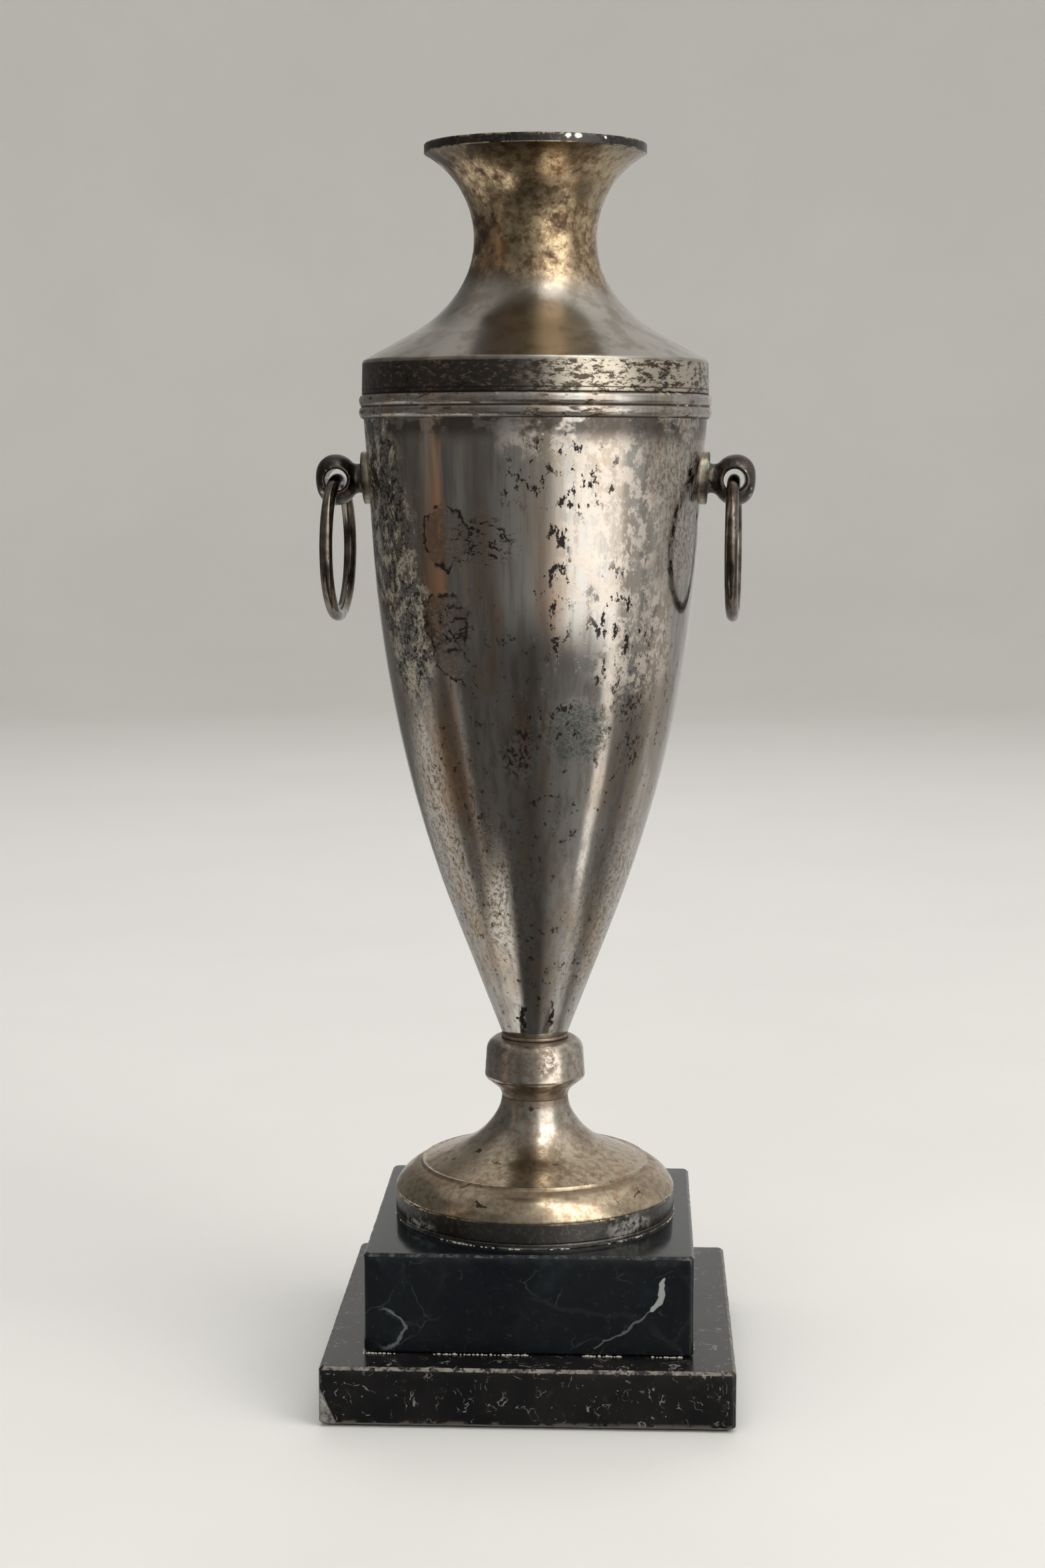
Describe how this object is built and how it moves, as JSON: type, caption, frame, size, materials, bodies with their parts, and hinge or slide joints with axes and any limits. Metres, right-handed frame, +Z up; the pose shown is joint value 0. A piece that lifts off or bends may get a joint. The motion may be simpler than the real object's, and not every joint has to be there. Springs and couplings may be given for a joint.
{
  "type": "cup trophy",
  "caption": "Tall urn-shaped metal cup trophy with two loose ring handles, on a round foot and a stepped square stone plinth.",
  "frame": {"origin": "centre of the underside of the felt pad, under the cup's axis", "axes": "+Z up along the cup's axis, -Y the front, the two ring handles along X"},
  "size_m": [0.1382, 0.127, 0.3893],
  "materials": {
    "felt": "matt woven felt",
    "black_marble": "polished, worn, fine pale flecks",
    "dark_marble": "polished, a few white veins",
    "steel_hardware": "plain zinc-plated steel",
    "tarnished_silver": "silver plate over brass, tarnished, once polished",
    "aged_gilt_silver": "silver plate worn warm and brown",
    "dark_silver": "silver plate gone gunmetal dark",
    "handle_metal": "dark tarnished cast brass"
  },
  "bodies": {
    "trophy": {"felt_pad": "felt", "base_slab": "black_marble", "plinth_block": "dark_marble", "base_washer": "steel_hardware", "base_nut": "steel_hardware", "tie_rod": "steel_hardware", "cup_washer": "steel_hardware", "cup_nut": "steel_hardware", "foot_skirt": "dark_silver", "foot": "aged_gilt_silver", "knop": "aged_gilt_silver", "cup_seat_bead": "aged_gilt_silver", "cup_body": "tarnished_silver", "bead_band": "tarnished_silver", "shoulder_neck": "aged_gilt_silver", "mouth_rim": "dark_silver", "backplate_left": "handle_metal", "eyelet_left": "handle_metal", "handle_washer_left": "steel_hardware", "handle_nut_left": "steel_hardware", "backplate_right": "handle_metal", "eyelet_right": "handle_metal", "handle_washer_right": "steel_hardware", "handle_nut_right": "steel_hardware"},
    "ring_left": {"ring_left": "handle_metal"},
    "ring_right": {"ring_right": "handle_metal"}
  },
  "joints": [
    {"name": "ring_left_swing", "type": "hinge", "parent": "trophy", "child": "ring_left", "pos_m": [-0.0623, 0, 0.2858], "axis": [0.0698, 0.9976, 0], "range_deg": [-13, 180]},
    {"name": "ring_right_swing", "type": "hinge", "parent": "trophy", "child": "ring_right", "pos_m": [0.0623, 0, 0.2858], "axis": [-0.0698, -0.9976, 0], "range_deg": [-13, 180]}
  ]
}
